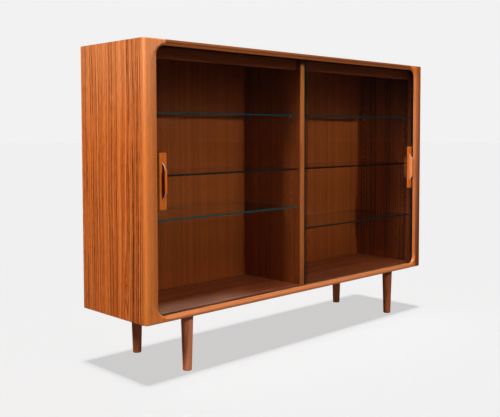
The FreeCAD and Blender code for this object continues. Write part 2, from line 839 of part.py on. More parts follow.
def leg_inserts():
    """Sleeves in the bottom board that take the bolts."""
    spots = leg_spots().values()
    outsides = pegs("insert_outside", "Z", BASE, spots, "insert_diameter", "insert_length")
    insides = pegs("insert_inside", "Z", BASE, spots, BOLT_HOLE, "insert_length")
    sleeves = []
    for index, (outside, inside) in enumerate(zip(outsides, insides), start=1):
        sleeve = doc.addObject("Part::Cut", f"leg_insert_{index}")
        sleeve.Base = outside
        sleeve.Tool = inside
        sleeves.append(sleeve)
    piece_set("leg_inserts", sleeves)


# The whole bookcase


for side, side_name in SIDES:
    side_panel(f"side_panel_{side_name}", side)
top_panel()
bottom_panel()
for level, level_name in ((1, "top"), (-1, "bottom")):
    for side, side_name in SIDES:
        mitre_spline(f"mitre_spline_{level_name}_{side_name}", side, level)
centre_divider()
back_panel()
back_panel_screws()
divider_dowels()
for side, side_name in SIDES:
    valance(f"valance_{side_name}", side)
valance_dowels()

for side, side_name in SIDES:
    front_stile(f"front_stile_{side_name}", side)
front_rail("front_rail_top", 1)
front_rail("front_rail_bottom", -1)
stile_dowels()
rail_dowels()

door_track("upper_door_track", 1)
door_track("lower_door_track", -1)
glass_door("glass_door_left", LEFT_DOOR_X, REAR_GLASS)
glass_door("glass_door_right", RIGHT_DOOR_X, FRONT_GLASS)
door_pull("door_pull_left", -1, f"{LEFT_DOOR_X} + pull_inset", REAR_GLASS)
door_pull("door_pull_right", 1, f"{RIGHT_DOOR_X} + {DOOR_WIDTH} - pull_inset", FRONT_GLASS)

for (side, side_name), holes in zip(SIDES, (LEFT_SHELF_HOLES, RIGHT_SHELF_HOLES)):
    for number, hole in enumerate(holes, start=1):
        glass_shelf(f"glass_shelf_{side_name}_{number}", side, hole)
        shelf_pins(f"shelf_pins_{side_name}_{number}", side, hole)
rear_shelf_stud()

for leg_name, (x, y) in leg_spots().items():
    leg(leg_name, x, y)
leg_bolts()
leg_inserts()

doc.recompute()

# Stop before anything is written if a feature failed or a piece isn't sound.
for obj in doc.Objects:
    if "Invalid" in obj.State or "Error" in obj.State:
        raise RuntimeError(f"{obj.Label} failed: {obj.State}")
for node in nodes:
    if node.Shape.isNull() or not node.Shape.isValid() or not node.Shape.Solids:
        raise RuntimeError(f"{node.Label} has no sound shape")

os.makedirs("parts", exist_ok=True)
for node in nodes:
    node.Shape.exportStep(f"parts/{node.Label}.step")
print(len(nodes), "pieces written")
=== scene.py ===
import math

import bmesh
import bpy
from mathutils import Matrix, Vector


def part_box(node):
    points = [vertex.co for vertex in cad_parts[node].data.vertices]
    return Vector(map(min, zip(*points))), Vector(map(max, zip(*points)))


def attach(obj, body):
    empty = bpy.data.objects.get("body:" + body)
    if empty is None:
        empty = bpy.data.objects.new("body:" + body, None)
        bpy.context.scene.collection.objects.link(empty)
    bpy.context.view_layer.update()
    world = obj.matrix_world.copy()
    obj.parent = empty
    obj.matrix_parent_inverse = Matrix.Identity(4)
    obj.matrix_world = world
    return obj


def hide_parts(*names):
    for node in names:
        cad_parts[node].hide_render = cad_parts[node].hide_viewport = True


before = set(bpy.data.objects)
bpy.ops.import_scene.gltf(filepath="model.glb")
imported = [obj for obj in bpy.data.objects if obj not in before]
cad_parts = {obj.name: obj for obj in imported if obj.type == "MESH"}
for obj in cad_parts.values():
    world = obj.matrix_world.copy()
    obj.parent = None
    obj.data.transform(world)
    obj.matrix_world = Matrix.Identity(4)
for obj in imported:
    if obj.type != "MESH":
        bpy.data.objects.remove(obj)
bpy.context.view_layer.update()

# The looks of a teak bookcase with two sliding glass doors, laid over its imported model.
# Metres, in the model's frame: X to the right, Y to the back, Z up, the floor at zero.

# Two opposite corners of the case, and the faces of its boards that look into the bays or to the rear.
CASE_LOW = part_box("side_panel_left")[0]
CASE_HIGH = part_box("side_panel_right")[1]
SIDE_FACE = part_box("side_panel_right")[0].x
FLOOR_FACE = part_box("bottom_panel")[1].z
CEILING_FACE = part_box("top_panel")[0].z
REAR_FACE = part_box("back_panel")[1].y

# How deep under a face its own shade ends, and how deep the lipping on the divider's front is.
FACE_SKIN = 0.0004
LIPPING_DEPTH = 0.004

# How far in from the outer sides, and from the top and bottom, the painted shade on the opening's walls
# fades.
OPENING_SIDE_INSETS = (0.040, 0.030)
OPENING_END_INSETS = (0.016, 0.011)

# The painted shade on the right stile's outer strip: how far in from the outer side it begins, and the
# heights where it is darkest and reddest and where it is lightest.
STRIP_INSETS = (0.038, 0.035)
STRIP_HEIGHTS = (0.25, 0.95)

# Heights between which a painted sheen grows towards the top of the sides and the left stile, and between
# which the top and bottom rails change their shade.
PAINTED_SHEEN_HEIGHTS = (0.72, 1.18)
RAIL_TOP_HEIGHTS = (1.126, 1.130)
RAIL_LOW_HEIGHTS = (0.22, 0.26)

# The painted sheen at the front of the left bay's floor: where it ends towards the back and towards the
# right.
PAINTED_SHEEN_BACK = (-0.10, -0.01)
PAINTED_SHEEN_RIGHT = (-0.42, -0.20)

# The painted shade in the corner behind the right stile ends between these depths.
CORNER_END = (-0.143, -0.140)

# A door pull: how far its rib stands out from its plate, how far in from its left edge the right pull's
# rib begins, and the scoop's radius and the inset of its middle.
RIB_DEPTH = 0.016
RIB_INSET = 0.010
SCOOP_RADIUS = 0.012
SCOOP_INSET = 0.001

# A shelf pin, with both ends rounded over.
PIN_LENGTH = 0.017
PIN_EASING = 0.0015

# Where the back's screws stand, as shares of the width between the sides and of the case's height.
SCREW_SHARES_ACROSS = (0.08, 0.36, 0.64, 0.92)
SCREW_SHARES_UP = (0.33, 0.67)

# A screw: its head and point, the radii of its tip and shank, the rows (rise, radius) of its dome and the
# rows (depth, radius, half of an arm's width) of its cross.
SCREW_HEAD = 0.006
SCREW_HEAD_HEIGHT = 0.002
SCREW_POINT = 0.003
SCREW_TIP_RADIUS = 0.0003
SCREW_SHANK_RADIUS = 0.0014
SCREW_DOME = ((0.0, 0.0029), (0.0006, 0.0029), (0.0012, 0.0026), (0.0017, 0.0020), (0.0019, 0.0014))
SCREW_CROSS = ((0.0001, 0.0012, 0.0003), (0.0010, 0.0009, 0.0002))

# A leg's foot, where the heart of its tree lay, and how far from the last leg the next one was cut.
LEG_FOOT_RADIUS = 0.016
LEG_FOOT_ROUND = 0.002
LEG_HEART = (0.4, 0.2, 0.0)
LEG_CUT_STEP = (0.13, 0.29, 0.4)

# The view: where the camera stands and how it is turned, in metres and degrees.
CAMERA_PLACE = (-2.2318, -2.1491, 0.8323)
CAMERA_TURN = 44.1817
CAMERA_TILT = -2.9478
CAMERA_ROLL = -0.1078
SENSOR_WIDTH = 36.0
LENS = 53.5666
FRAME_RISE = -0.07527

# How bright the room is to the camera, as light on the case and in reflections.
BACKDROP = 0.888
ROOM_LIGHT = 0.0105
ROOM_COLOUR = (1.0, 0.66, 0.42)
ROOM_SHINE = 0.008

# The floor: how far it reaches, how it glows to the camera and on the case, and how pale it is to the
# camera and to all other light.
FLOOR_RADIUS = 60.0
FLOOR_GLOW = 0.600
FLOOR_BOUNCE = 0.20
FLOOR_PALE = 0.30
FLOOR_DIM = 0.004

# How wide the lamp overhead is, in degrees of the sky.
SUN_SPREAD = 3.5

# Finishes of the wood, some with painted light and shade in them, as scene-linear colours.
VENEER = {"pale": (0.84, 0.228, 0.049), "warm": (0.62, 0.120, 0.015), "dark": (0.030, 0.003, 0.001)}
# Paler and whiter towards the top of the sides: a painted sheen.
VENEER_PAINTED_SHEEN = {"pale": (0.80, 0.270, 0.085), "warm": (0.64, 0.185, 0.050), "dark": (0.120, 0.018, 0.004)}
# Darker on the faces inside the bays and on the bays' floor: painted shade of the bays.
VENEER_PAINTED_SHADE_INSIDE = {"pale": (0.225, 0.041, 0.0072), "warm": (0.175, 0.028, 0.0041),
                 "dark": (0.030, 0.004, 0.001)}
VENEER_PAINTED_SHADE_FLOOR = {"pale": (0.175, 0.032, 0.007), "warm": (0.135, 0.022, 0.004), "dark": (0.04, 0.006, 0.001)}
# Paler and greyer at the front of the left bay's floor: a painted sheen.
FLOOR_PAINTED_SHEEN = {"pale": (0.34, 0.135, 0.090), "warm": (0.28, 0.110, 0.072), "dark": (0.12, 0.040, 0.025)}
SOLID = {"pale": (0.72, 0.200, 0.040), "warm": (0.60, 0.150, 0.024), "dark": (0.34, 0.068, 0.008)}
# Darker and redder: painted shade on the outer strip of the right stile.
STILE_PAINTED_SHADE = {"pale": (0.24, 0.052, 0.008), "warm": (0.19, 0.040, 0.005), "dark": (0.10, 0.018, 0.002)}
# Paler and whiter towards the top of the left stile: a painted sheen.
SOLID_PAINTED_SHEEN = {"pale": (0.75, 0.270, 0.095), "warm": (0.67, 0.215, 0.065), "dark": (0.36, 0.090, 0.020)}
RAIL_LOW = {"pale": (0.62, 0.200, 0.064), "warm": (0.52, 0.155, 0.045), "dark": (0.30, 0.070, 0.014)}
RAIL_TOP = {"pale": (0.32, 0.086, 0.018), "warm": (0.27, 0.068, 0.013), "dark": (0.15, 0.032, 0.005)}
LIPPING = {"pale": (0.36, 0.096, 0.020), "warm": (0.30, 0.074, 0.013), "dark": (0.17, 0.032, 0.005)}
# Near black: painted shade on the walls of the opening and in the corner behind the right stile.
DEEP_PAINTED_SHADE = {"pale": (0.003, 0.001, 0.001), "warm": (0.002, 0.001, 0.001), "dark": (0.001, 0.001, 0.001)}
PULL = {"pale": (0.90, 0.215, 0.024), "warm": (0.78, 0.150, 0.012), "dark": (0.42, 0.060, 0.004)}
# Paler and pinker: painted light on the left flank of the right pull's rib.
PULL_PAINTED_LIGHT = {"pale": (0.94, 0.400, 0.160), "warm": (0.86, 0.320, 0.110), "dark": (0.50, 0.120, 0.030)}
# Dark red: painted shade in the scoops of the pulls.
PULL_PAINTED_SHADE = {"pale": (0.44, 0.036, 0.004), "warm": (0.32, 0.024, 0.002), "dark": (0.16, 0.010, 0.001)}
# Nearly white: painted glints on the slanted ends of the pulls' ribs.
PULL_PAINTED_GLINT = {"pale": (0.98, 0.90, 0.86), "warm": (0.96, 0.82, 0.76), "dark": (0.80, 0.50, 0.40)}
# Pale worn edges of the pulls, partly wear and partly a painted highlight.
RUBBED_AND_PAINTED_GLINT = (0.95, 0.62, 0.42)
# The front legs' painted shade and painted light.
LEG_PAINTED_SHADE = {"pale": (0.54, 0.140, 0.042), "warm": (0.40, 0.088, 0.022), "dark": (0.14, 0.024, 0.005)}
LEG_PAINTED_LIGHT = {"pale": (0.90, 0.330, 0.160), "warm": (0.72, 0.220, 0.090), "dark": (0.28, 0.060, 0.018)}
LEG = {"pale": (0.70, 0.205, 0.068), "warm": (0.54, 0.135, 0.036), "dark": (0.20, 0.040, 0.008)}
BEECH = {"pale": (0.62, 0.42, 0.24), "warm": (0.52, 0.33, 0.17), "dark": (0.34, 0.19, 0.09)}
PLYWOOD = {"pale": (0.60, 0.43, 0.26), "warm": (0.45, 0.28, 0.15), "dark": (0.25, 0.13, 0.06)}

# Metal and plastic, each with the shade of its dull or rubbed patches.
STEEL = (0.62, 0.64, 0.66)
STEEL_DULL = (0.40, 0.41, 0.42)
BRASS = (0.26, 0.15, 0.06)
BRASS_DULL = (0.14, 0.08, 0.03)
TRACK = (0.030, 0.012, 0.006)
TRACK_RUBBED = (0.085, 0.045, 0.028)

# Clear glass and its cut edges, the painted glow that the edges of the doors and shelves emit though they
# are no lamp, and how much of it each shelf shows, from the top down.
SHELF_FACE = (0.90, 0.95, 0.93)
SHELF_EDGE = (0.002, 0.058, 0.060)
DOOR_FACE = (0.86, 0.90, 0.88)
DOOR_EDGE = (0.006, 0.050, 0.050)
DOOR_EDGE_PAINTED_GLOW = (0.001, 0.008, 0.009)
EDGE_PAINTED_GLOW = (0.0004, 0.038, 0.040)
EDGE_PAINTED_GLOW_SHARES = {"left": (0.6, 0.2, 1.0), "right": (0.35, 0.0, 0.25)}

# How much smears of wiping dull the glass.
GLASS_SMEAR = 0.02

# How fine the patches of polish are on wood and glass, on plastic and on metal.
BROAD_PATCHES = 7.0
NARROW_PATCHES = 24.0
FINE_PATCHES = 90.0

FRONT_FRAME = ("front_stile_left", "front_stile_right", "front_rail_top", "front_rail_bottom")

# Directions in the frame.
RIGHT = (1.0, 0.0, 0.0)
LEFT = (-1.0, 0.0, 0.0)
REARWARD = (0.0, 1.0, 0.0)
FORWARD = (0.0, -1.0, 0.0)
UP = (0.0, 0.0, 1.0)
DOWN = (0.0, 0.0, -1.0)

# How a board is turned so that its grain runs along the figure's Z.
GRAIN_UPRIGHT = (0.0, 0.0, 0.0)
GRAIN_LEVEL = (0.0, math.radians(90.0), 0.0)
GRAIN_DEEP = (math.radians(90.0), 0.0, 0.0)

# Where the heart of the tree lay, seen from the turned board, so that its rings cross the wide face.
RINGS_ACROSS_X = (2.6, 0.5, 0.0)
RINGS_ACROSS_Y = (0.5, 2.6, 0.0)

# The arched figure, where the saw met the rings nearly flat: its width and how far it bends the rings.
CROWN_WIDTH = 0.013
CROWN_SWELL = 0.032

# How deep the pores and fibres are.
GRAIN_RELIEF = 0.00012


class Wiring:
    """Adds shader nodes to one tree and joins them."""

    def __init__(self, tree):
        self.tree = tree

    def put(self, socket, value):
        if isinstance(value, bpy.types.NodeSocket):
            self.tree.links.new(value, socket)
        elif isinstance(value, (tuple, list)) and len(value) == 3 and socket.type == "RGBA":
            socket.default_value = (*value, 1.0)
        else:
            socket.default_value = value

    def add(self, kind, settings=None, inputs=None):
        node = self.tree.nodes.new("ShaderNode" + kind)
        for name, value in (settings or {}).items():
            setattr(node, name, value)
        for name, value in (inputs or {}).items():
            self.put(node.inputs[name], value)
        return node

    def sum(self, operation, *values, clamp=False):
        node = self.add("Math", {"operation": operation, "use_clamp": clamp})
        for socket, value in zip(node.inputs, values):
            self.put(socket, value)
        return node.outputs[0]

    def vector(self, operation, *values, scale=None):
        node = self.add("VectorMath", {"operation": operation})
        for socket, value in zip(node.inputs, values):
            self.put(socket, value)
        if scale is not None:
            self.put(node.inputs["Scale"], scale)
        return node.outputs["Value" if operation in ("DOT_PRODUCT", "LENGTH") else "Vector"]

    def mix(self, share, low, high):
        node = self.add("Mix", {"data_type": "RGBA"})
        self.put(node.inputs[0], share)
        self.put(node.inputs[6], low)
        self.put(node.inputs[7], high)
        return node.outputs[2]

    def fade(self, value, start, end, low=0.0, high=1.0):
        """The low value below start and the high one above end, with a smooth step between them."""
        names = ("Value", "From Min", "From Max", "To Min", "To Max")
        node = self.add("MapRange", {"interpolation_type": "SMOOTHSTEP"},
                        dict(zip(names, (value, start, end, low, high))))
        return node.outputs[0]

    def noise(self, place, scale, detail=2.0, roughness=0.5):
        """Soft random values around one half, in three dimensions."""
        node = self.add("TexNoise", {"noise_dimensions": "3D"},
                        {"Vector": place, "Scale": scale, "Detail": detail, "Roughness": roughness})
        return node.outputs["Fac"]

    def line_noise(self, distance, scale, detail=1.0):
        """Soft random values around one half, which change along one distance."""
        node = self.add("TexNoise", {"noise_dimensions": "1D"},
                        {"W": distance, "Scale": scale, "Detail": detail})
        return node.outputs["Fac"]

    def stretch(self, place, scale):
        return self.vector("MULTIPLY", place, scale)

    def along(self, place, axis):
        """How far a place lies along an axis."""
        return self.vector("DOT_PRODUCT", place, axis)

    def split(self, place):
        """The X, Y and Z of a place."""
        return self.add("SeparateXYZ", None, {"Vector": place}).outputs

    def facing(self, axis):
        """From one where the surface faces along an axis down to minus one where it faces away."""
        return self.along(self.add("NewGeometry").outputs["True Normal"], axis)

    def product(self, *shares):
        """One only where every share is one."""
        total = shares[0]
        for share in shares[1:]:
            total = self.sum("MULTIPLY", total, share)
        return total


def new_group(name, takes, gives):
    """An empty shader group with named sockets: its wiring, its inputs and the sockets for its results."""
    group = bpy.data.node_groups.new(name, "ShaderNodeTree")
    for direction, sockets in (("INPUT", takes), ("OUTPUT", gives)):
        for label, kind in sockets.items():
            group.interface.new_socket(label, in_out=direction, socket_type="NodeSocket" + kind)
    given = group.nodes.new("NodeGroupInput").outputs
    result = group.nodes.new("NodeGroupOutput").inputs
    return Wiring(group), given, result


def make_wood_figure():
    """Growth bands, dark streaks, fibres and pores of a board whose grain runs along Z."""
    wiring, given, result = new_group(
        "wood_figure",
        {"Place": "Vector", "Heart": "Vector", "Pale": "Color", "Warm": "Color", "Dark": "Color",
         "Streaks": "Float", "Wander": "Float", "Crown": "Vector", "Crown Size": "Float"},
        {"Color": "Color", "Roughness": "Float", "Height": "Float"})
    place = given["Place"]
    slow = wiring.add("TexNoise", {"noise_dimensions": "3D"},
                      {"Vector": wiring.stretch(place, (4.0, 4.0, 1.3)), "Scale": 1.0, "Detail": 1.0})
    sway = wiring.vector("SUBTRACT", slow.outputs["Color"], (0.5, 0.5, 0.5))
    sway = wiring.vector("SCALE", sway, scale=wiring.sum("MULTIPLY", given["Wander"], 0.030))
    quick = wiring.add("TexNoise", {"noise_dimensions": "3D"},
                       {"Vector": wiring.stretch(place, (28.0, 28.0, 5.0)), "Scale": 1.0, "Detail": 2.0})
    shiver = wiring.vector("SUBTRACT", quick.outputs["Color"], (0.5, 0.5, 0.5))
    shiver = wiring.vector("SCALE", shiver, scale=wiring.sum("MULTIPLY", given["Wander"], 0.006))
    grown = wiring.vector("ADD", wiring.vector("ADD", place, sway), shiver)
    from_heart = wiring.stretch(wiring.vector("SUBTRACT", grown, given["Heart"]), (1.0, 1.0, 0.0))
    ring = wiring.vector("LENGTH", from_heart)
    crown = wiring.split(wiring.vector("SUBTRACT", grown, given["Crown"]))
    beside = wiring.sum("MULTIPLY", crown["Y"], 1.0 / CROWN_WIDTH)
    swell = wiring.sum("DIVIDE", wiring.fade(crown["Z"], -0.36, 0.02, 1.0, 0.0),
                       wiring.sum("MULTIPLY_ADD", beside, beside, 1.0))
    ring = wiring.sum("MULTIPLY_ADD", swell, given["Crown Size"], ring)

    tone = wiring.fade(wiring.line_noise(ring, 48.0, 2.0), 0.32, 0.70)
    flame = wiring.noise(wiring.stretch(place, (30.0, 30.0, 1.8)), 1.0, 2.0)
    band = wiring.sum("ADD", tone, wiring.fade(flame, 0.3, 0.7, -0.25, 0.25), clamp=True)

    broad = wiring.fade(wiring.line_noise(wiring.sum("ADD", ring, 7.31), 125.0, 2.0), 0.585, 0.625)
    narrow = wiring.sum("ABSOLUTE", wiring.sum(
        "SUBTRACT", wiring.line_noise(wiring.sum("ADD", ring, 3.17), 95.0, 2.0), 0.575))
    narrow = wiring.fade(narrow, 0.026, 0.058, 0.95, 0.0)
    cluster = wiring.line_noise(wiring.sum("ADD", ring, 1.73), 19.0, 1.0)
    cluster = wiring.fade(cluster, 0.38, 0.56, 0.22, 1.0)
    along = wiring.noise(wiring.stretch(place, (150.0, 150.0, 4.5)), 1.0, 2.0)
    lasting = wiring.fade(along, 0.32, 0.52, 0.15, 1.0)
    streak = wiring.product(wiring.sum("MAXIMUM", broad, narrow), cluster, lasting, given["Streaks"])
    vein = wiring.sum("ABSOLUTE", wiring.sum(
        "SUBTRACT", wiring.line_noise(wiring.sum("ADD", ring, 9.83), 26.0, 1.0), 0.545))
    swelling = wiring.noise(wiring.stretch(place, (40.0, 40.0, 3.2)), 1.0, 2.0)
    swelling = wiring.fade(swelling, 0.36, 0.56, 0.25, 1.0)
    vein = wiring.product(wiring.fade(vein, 0.008, 0.024, 1.0, 0.0), swelling, given["Streaks"])
    streak = wiring.sum("MAXIMUM", streak, vein)
    hair = wiring.line_noise(wiring.sum("ADD", ring, 5.5), 330.0, 2.0)
    hair = wiring.fade(hair, 0.46, 0.64, 0.0, 0.42)
    streak = wiring.sum("ADD", streak, wiring.sum("MULTIPLY", hair, given["Streaks"]), clamp=True)

    fibre = wiring.noise(wiring.stretch(place, (1400.0, 1400.0, 26.0)), 1.0, 2.0, 0.6)
    fibre = wiring.fade(fibre, 0.25, 0.75)
    pore = wiring.noise(wiring.stretch(place, (3000.0, 3000.0, 75.0)), 1.0, 1.0)
    pore = wiring.fade(pore, 0.63, 0.74)
    fleck = wiring.noise(wiring.stretch(place, (190.0, 190.0, 30.0)), 1.0, 2.0, 0.6)

    shade = wiring.mix(band, given["Pale"], given["Warm"])
    shade = wiring.mix(streak, shade, given["Dark"])
    shade = wiring.mix(wiring.fade(fibre, 0.0, 1.0, 0.0, 0.30), shade, given["Warm"])
    shade = wiring.mix(wiring.fade(fleck, 0.50, 0.72, 0.0, 0.26), shade, given["Dark"])
    shade = wiring.mix(wiring.fade(fleck, 0.30, 0.50, 0.22, 0.0), shade, given["Pale"])
    shade = wiring.mix(wiring.sum("MULTIPLY", pore, 0.45), shade, given["Dark"])
    rough = wiring.sum("MULTIPLY_ADD", fibre, 0.10, wiring.sum("MULTIPLY", streak, 0.05))
    rough = wiring.sum("MULTIPLY_ADD", pore, 0.25, rough)
    height = wiring.sum("MULTIPLY_ADD", pore, -0.8, wiring.sum("MULTIPLY", fibre, 0.35))
    wiring.put(result["Color"], shade)
    wiring.put(result["Roughness"], rough)
    wiring.put(result["Height"], height)
    return wiring.tree


def make_edge_wear():
    """Where an edge is rubbed, and a normal that rounds it slightly."""
    wiring, given, result = new_group(
        "edge_wear", {"Place": "Vector", "Width": "Float", "Amount": "Float"},
        {"Worn": "Float", "Normal": "Vector"})
    eased = wiring.add("Bevel", {"samples": 4}, {"Radius": given["Width"]}).outputs["Normal"]
    flat = wiring.add("NewGeometry").outputs["Normal"]
    turn = wiring.sum("SUBTRACT", 1.0, wiring.vector("DOT_PRODUCT", eased, flat))
    patchy = wiring.fade(wiring.noise(given["Place"], 55.0, 3.0), 0.35, 0.62, 0.25, 1.0)
    worn = wiring.sum("MULTIPLY", wiring.fade(turn, 0.01, 0.22), patchy)
    wiring.put(result["Worn"], wiring.sum("MULTIPLY", worn, given["Amount"], clamp=True))
    wiring.put(result["Normal"], eased)
    return wiring.tree


def make_handling():
    """Slow patches of polish and the faint smears of wiping and touching."""
    wiring, given, result = new_group(
        "handling", {"Place": "Vector", "Size": "Float"}, {"Patch": "Float", "Smear": "Float"})
    patch = wiring.noise(given["Place"], given["Size"], 3.0, 0.55)
    smear = wiring.noise(wiring.stretch(given["Place"], (1.0, 1.0, 0.35)), 38.0, 4.0, 0.65)
    wiring.put(result["Patch"], wiring.fade(patch, 0.30, 0.70))
    wiring.put(result["Smear"], wiring.fade(smear, 0.48, 0.75))
    return wiring.tree


GROUPS = {"figure": make_wood_figure(), "edges": make_edge_wear(), "handling": make_handling()}


def use_group(wiring, name, inputs):
    node = wiring.tree.nodes.new("ShaderNodeGroup")
    node.node_tree = GROUPS[name]
    for label, value in inputs.items():
        wiring.put(node.inputs[label], value)
    return node.outputs


def new_material(name):
    """A material with its own wiring, Principled shader and place on the piece."""
    material = bpy.data.materials.new(name)
    material.use_nodes = True
    wiring = Wiring(material.node_tree)
    shader = material.node_tree.nodes["Principled BSDF"]
    place = wiring.add("TexCoord").outputs["Object"]
    return material, wiring, shader, place


def beyond(axis, start, end):
    """A share that grows from nothing at start to one at end, measured along an axis of the case."""
    def share(wiring, place):
        return wiring.fade(wiring.along(place, axis), start, end)
    return share


def face_at(axis, distance):
    """One on a board's face that lies at a distance along an axis of the case, and nothing deeper in it."""
    return beyond(axis, distance - FACE_SKIN, distance - FACE_SKIN / 4)


def painted_shade_in_opening(wiring, place):
    """One on the faces of the frame that look into the opening behind the bevel, where shade is painted."""
    spot = wiring.split(place)
    upright = wiring.fade(wiring.sum("ABSOLUTE", wiring.facing(REARWARD)), 0.05, 0.15, 1.0, 0.0)
    sides = [CASE_HIGH.x - inset for inset in OPENING_SIDE_INSETS]
    inward = wiring.fade(wiring.sum("ABSOLUTE", spot["X"]), *sides, 1.0, 0.0)
    half_height = (CASE_HIGH.z - CASE_LOW.z) / 2
    ends = [half_height - inset for inset in OPENING_END_INSETS]
    from_middle = wiring.sum("ABSOLUTE", wiring.sum("SUBTRACT", spot["Z"], CASE_LOW.z + half_height))
    between = wiring.fade(from_middle, *ends, 1.0, 0.0)
    return wiring.product(upright, inward, between)


def painted_shade_strip(wiring, place):
    """Painted shade on the strip along the outer side of the right stile, darker and redder towards the
    floor.
    """
    spot = wiring.split(place)
    ragged = wiring.noise(wiring.stretch(place, (60.0, 60.0, 5.0)), 1.0, 2.0)
    edge = wiring.sum("MULTIPLY_ADD", ragged, 0.004, spot["X"])
    begins = [CASE_HIGH.x - inset for inset in STRIP_INSETS]
    return wiring.product(wiring.fade(edge, *begins), wiring.fade(spot["Z"], *STRIP_HEIGHTS, 1.0, 0.62))


def painted_sheen_on_floor(wiring, place):
    """The front of the left bay's floor, where a pale sheen is painted."""
    spot = wiring.split(place)
    return wiring.product(face_at(UP, FLOOR_FACE)(wiring, place),
                          wiring.fade(spot["Y"], *PAINTED_SHEEN_BACK, 1.0, 0.0),
                          wiring.fade(spot["X"], *PAINTED_SHEEN_RIGHT, 1.0, 0.06))


def painted_shade_behind_stile(wiring, place):
    """The front strip of the right side panel's inner face, in the corner behind the stile, where shade is
    painted.
    """
    return wiring.product(face_at(LEFT, -SIDE_FACE)(wiring, place),
                          wiring.fade(wiring.split(place)["Y"], *CORNER_END, 1.0, 0.0))


def pull_lines(side):
    """How far forward the front of a pull's plate lies, and the upright line in the middle of its scoop."""
    low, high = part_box("door_pull_" + side)
    x = low.x + SCOOP_INSET if side == "left" else high.x - SCOOP_INSET
    return -low.y - RIB_DEPTH, (x, low.y + RIB_DEPTH / 2, 0.0)


def away_from(wiring, place, line):
    """How far a place lies from an upright line."""
    from_line = wiring.stretch(wiring.vector("SUBTRACT", place, line), (1.0, 1.0, 0.0))
    return wiring.vector("LENGTH", from_line)


def slanted(wiring, place, plate_front):
    """One on the slanted ends of a rib in front of the plate, and less on the lower one."""
    up = wiring.facing(UP)
    steep = wiring.fade(wiring.sum("ABSOLUTE", up), 0.90, 0.96, 1.0, 0.0)
    end = wiring.sum("MAXIMUM", wiring.fade(up, 0.25, 0.45), wiring.fade(up, -0.45, -0.25, 0.55, 0.0))
    ahead = wiring.fade(wiring.along(place, FORWARD), plate_front + 0.0004, plate_front + 0.0009)
    return wiring.product(end, steep, ahead)


def painted_shade_in_scoop(side):
    """One inside the scoop of a pull, where shade is painted."""
    plate_front, line = pull_lines(side)

    def share(wiring, place):
        away = away_from(wiring, place, line)
        ahead = wiring.fade(wiring.along(place, FORWARD), plate_front + 0.0002, plate_front + 0.0008)
        return wiring.product(wiring.fade(away, SCOOP_RADIUS - 0.0008, SCOOP_RADIUS - 0.0004),
                              wiring.fade(away, SCOOP_RADIUS + 0.0002, SCOOP_RADIUS + 0.0006, 1.0, 0.0),
                              ahead)
    return share


def painted_glint_beside_scoop(side):
    """One on the slanted ends of a pull's rib, close beside its scoop, where a glint is painted."""
    plate_front, line = pull_lines(side)

    def share(wiring, place):
        away = away_from(wiring, place, line)
        return wiring.product(wiring.fade(away, SCOOP_RADIUS + 0.0001, SCOOP_RADIUS + 0.0004),
                              wiring.fade(away, SCOOP_RADIUS + 0.0015, SCOOP_RADIUS + 0.0035, 1.0, 0.0),
                              slanted(wiring, place, plate_front))
    return share


def painted_glint_along_flank(wiring, place):
    """One on the slanted ends of the right pull's rib, along its left side, where a glint is painted."""
    plate_front, _ = pull_lines("right")
    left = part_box("door_pull_right")[0].x + RIB_INSET
    beside = wiring.fade(wiring.along(place, RIGHT), left + 0.0015, left + 0.0035, 1.0, 0.0)
    return wiring.product(beside, slanted(wiring, place, plate_front))


def painted_light_on_flank(wiring, place):
    """One on the left side of the right pull's rib, in front of the plate's face, where light is painted.
    """
    plate_front, _ = pull_lines("right")
    leftward = wiring.fade(wiring.facing(LEFT), 0.5, 0.8)
    ahead = wiring.fade(wiring.along(place, FORWARD), plate_front + 0.0002, plate_front + 0.0007)
    return wiring.product(leftward, ahead)


def wood(name, shades, grain, cut, heart=RINGS_ACROSS_X, streaks=1.0, wander=1.0,
         rough=0.42, wear=0.5, edge=0.002, shine=0.30, parts=(), crown=None, rubbed=None):
    """Oiled wood. grain turns the board, and cut moves the figure so that no two boards are alike.

    parts lists the (share, shades, dullness) of those parts of the board that differ from the rest of it.
    crown is the place of an arched figure on the turned board, and rubbed the shade of its worn edges,
    which on the pulls also stands for a painted highlight.
    """
    material, wiring, shader, place = new_material(name)
    for find_share, part_shades, dullness in parts:
        share = find_share(wiring, place)
        shades = {tone: wiring.mix(share, shades[tone], part_shades[tone]) for tone in shades}
        rough = wiring.sum("MULTIPLY_ADD", share, dullness, rough) if dullness else rough
    turned = wiring.add("Mapping", {"vector_type": "POINT"},
                        {"Vector": place, "Rotation": grain, "Location": cut}).outputs["Vector"]
    figure = use_group(wiring, "figure", {
        "Place": turned, "Heart": heart, "Pale": shades["pale"], "Warm": shades["warm"],
        "Dark": shades["dark"], "Streaks": streaks, "Wander": wander,
        "Crown": crown or (0.0, 0.0, 0.0), "Crown Size": CROWN_SWELL if crown else 0.0})
    edges = use_group(wiring, "edges", {"Place": place, "Width": edge, "Amount": wear})
    touch = use_group(wiring, "handling", {"Place": place, "Size": BROAD_PATCHES})
    shade = wiring.mix(wiring.sum("MULTIPLY", touch["Patch"], 0.16), figure["Color"], shades["warm"])
    worn = wiring.sum("MULTIPLY", edges["Worn"], 0.80 if rubbed else 0.45)
    shade = wiring.mix(worn, shade, rubbed or shades["pale"])
    polish = wiring.sum("MULTIPLY_ADD", touch["Patch"], 0.08, rough)
    polish = wiring.sum("ADD", polish, figure["Roughness"])
    polish = wiring.sum("MULTIPLY_ADD", edges["Worn"], -0.08, polish, clamp=True)
    bump = wiring.add("Bump", None, {"Strength": 0.6, "Distance": GRAIN_RELIEF,
                                     "Height": figure["Height"], "Normal": edges["Normal"]})
    wiring.put(shader.inputs["Base Color"], shade)
    wiring.put(shader.inputs["Roughness"], polish)
    wiring.put(shader.inputs["Normal"], bump.outputs["Normal"])
    shader.inputs["Specular IOR Level"].default_value = shine
    return material


